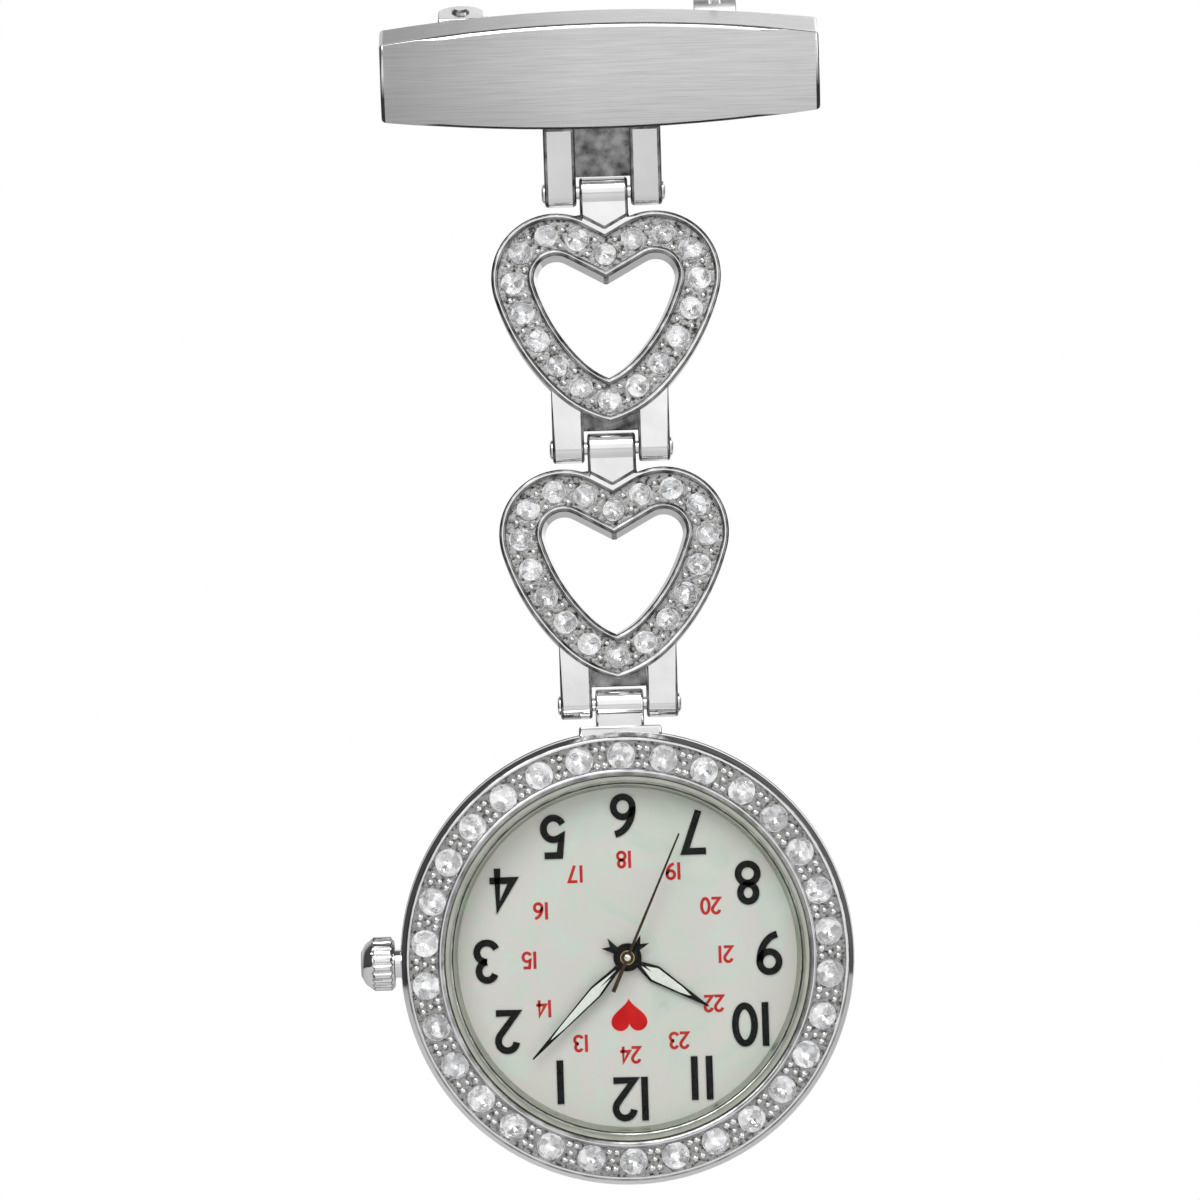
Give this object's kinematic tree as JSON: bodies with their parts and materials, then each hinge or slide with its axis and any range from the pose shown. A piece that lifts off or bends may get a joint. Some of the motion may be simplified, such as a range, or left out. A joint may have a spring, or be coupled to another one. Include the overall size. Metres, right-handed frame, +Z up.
{
  "type": "fob watch",
  "caption": "Nurse's fob watch: brooch bar with a hinged pin and safety catch, two stone-set heart links, and an upside-down quartz watch with stone-set bezel.",
  "frame": {"origin": "middle of the brooch needle's gripping length, the line that the garment hangs the watch from", "axes": "+X along the needle to the viewer's right, -Y out of the dial towards the viewer, +Z up"},
  "size_m": [0.0327, 0.0093, 0.0791],
  "materials": {
    "satin_silver": "satin, brushed along the bar",
    "bright_silver": "polished",
    "steel": "fine brushed",
    "stones": "faceted",
    "crystal": "clear, polished",
    "gasket": "matt",
    "flange": "satin",
    "dial": "pearly",
    "hands": "polished dark",
    "brass": "satin",
    "magnet": "dull",
    "holder": "matt",
    "cell": "smooth",
    "copper": "enamelled wire",
    "board": "satin",
    "resin": "gloss"
  },
  "bodies": {
    "brooch": {"brooch_bar": "satin_silver", "pin_base_plate": "steel", "pin_rivet": "steel", "catch_housing": "steel", "bar_fork": "bright_silver", "upper_hinge_pin": "bright_silver"},
    "needle": {"pin_stem": "steel"},
    "catch": {"catch_rotor": "steel"},
    "upper_link": {"upper_heart_frame": "bright_silver", "upper_heart_stones": "stones", "middle_hinge_pin": "bright_silver"},
    "lower_link": {"lower_heart_frame": "bright_silver", "lower_heart_stones": "stones", "lower_hinge_pin": "bright_silver"},
    "watch": {"case_body": "bright_silver", "bezel": "bright_silver", "bezel_stones": "stones", "crystal": "crystal", "crystal_gasket": "gasket", "case_back": "steel", "case_back_gasket": "gasket", "flange_ring": "flange", "dial": "dial", "crown_tube": "bright_silver", "movement_holder": "holder", "main_plate": "brass", "train_bridge": "brass", "bridge_screws": "steel", "battery": "cell", "battery_clip": "steel", "coil": "copper", "stator": "steel", "circuit_board": "board", "quartz_can": "cell", "ic_blob": "resin"},
    "clutch": {"sliding_pinion": "brass"},
    "winding_crown": {"crown": "bright_silver", "crown_gasket": "gasket", "setting_stem": "steel"},
    "yoke": {"setting_lever": "steel"},
    "seconds": {"fourth_wheel": "brass", "second_hand": "hands"},
    "minutes": {"center_wheel": "brass", "minute_hand": "hands"},
    "hours": {"hour_wheel": "brass", "hour_hand": "hands"},
    "third": {"third_wheel": "brass"},
    "fifth": {"fifth_wheel": "brass"},
    "motor": {"rotor": "magnet"},
    "minute_work": {"minute_wheel": "brass"},
    "setting_idler": {"setting_wheel": "brass"}
  },
  "joints": [
    {"name": "upper_link_swing", "type": "hinge", "parent": "brooch", "child": "upper_link", "pos_m": [0, 0, -0.01123], "axis": [1, 0, 0], "range_deg": [-60, 60]},
    {"name": "lower_link_swing", "type": "hinge", "parent": "upper_link", "child": "lower_link", "pos_m": [0, 0, -0.02823], "axis": [1, 0, 0], "range_deg": [-60, 60]},
    {"name": "watch_swing", "type": "hinge", "parent": "lower_link", "child": "watch", "pos_m": [0, 0, -0.04523], "axis": [1, 0, 0], "range_deg": [-60, 60]},
    {"name": "pin_swing", "type": "hinge", "parent": "brooch", "child": "needle", "pos_m": [-0.0091, 0, 0], "axis": [0, -0.3383, 0.941], "range_deg": [0, 70]},
    {"name": "catch_roll", "type": "hinge", "parent": "brooch", "child": "catch", "pos_m": [0.00777, 0, 0], "axis": [1, 0, 0], "range_deg": [-100, 0]},
    {"name": "crown_turn", "type": "hinge", "parent": "watch", "child": "clutch", "pos_m": [-0.0054, 0.0009, -0.06203], "axis": [-1, 0, 0], "continuous": true},
    {"name": "crown_pull", "type": "slide", "parent": "clutch", "child": "winding_crown", "axis": [-1, 0, 0], "range_m": [0, 0.001]},
    {"name": "yoke_tilt", "type": "hinge", "parent": "watch", "child": "yoke", "pos_m": [-0.0081, 0.0015, -0.05963], "axis": [0, 1, 0], "range_deg": [0, 23.6]},
    {"name": "seconds_turn", "type": "hinge", "parent": "watch", "child": "seconds", "pos_m": [0, 0, -0.06203], "axis": [0, 1, 0], "continuous": true},
    {"name": "third_turn", "type": "hinge", "parent": "watch", "child": "third", "pos_m": [-0.00192, 0.0012, -0.06396], "axis": [0, 1, 0], "continuous": true},
    {"name": "minutes_turn", "type": "hinge", "parent": "watch", "child": "minutes", "pos_m": [0, 0, -0.06203], "axis": [0, 1, 0], "continuous": true},
    {"name": "minute_work_turn", "type": "hinge", "parent": "watch", "child": "minute_work", "pos_m": [-0.0024, 0, -0.06203], "axis": [0, 1, 0], "continuous": true},
    {"name": "hours_turn", "type": "hinge", "parent": "watch", "child": "hours", "pos_m": [0, 0, -0.06203], "axis": [0, 1, 0], "continuous": true},
    {"name": "setting_idler_turn", "type": "hinge", "parent": "watch", "child": "setting_idler", "pos_m": [-0.0037, 0, -0.06428], "axis": [0, 1, 0], "continuous": true},
    {"name": "fifth_turn", "type": "hinge", "parent": "watch", "child": "fifth", "pos_m": [0.00242, 0.0017, -0.06343], "axis": [0, 1, 0], "continuous": true},
    {"name": "motor_turn", "type": "hinge", "parent": "watch", "child": "motor", "pos_m": [0.00388, 0.0012, -0.06427], "axis": [0, 1, 0], "continuous": true}
  ],
  "couplings": [
    {"joint": "yoke_tilt", "follows": "crown_pull", "rad_per_m": 410.79},
    {"joint": "third_turn", "follows": "seconds_turn", "ratio": -0.13333},
    {"joint": "minutes_turn", "follows": "seconds_turn", "ratio": 0.016667},
    {"joint": "minute_work_turn", "follows": "seconds_turn", "ratio": -0.0055556},
    {"joint": "hours_turn", "follows": "seconds_turn", "ratio": 0.0013889},
    {"joint": "setting_idler_turn", "follows": "seconds_turn", "ratio": 0.0125},
    {"joint": "fifth_turn", "follows": "seconds_turn", "ratio": -6},
    {"joint": "motor_turn", "follows": "seconds_turn", "ratio": 30}
  ]
}
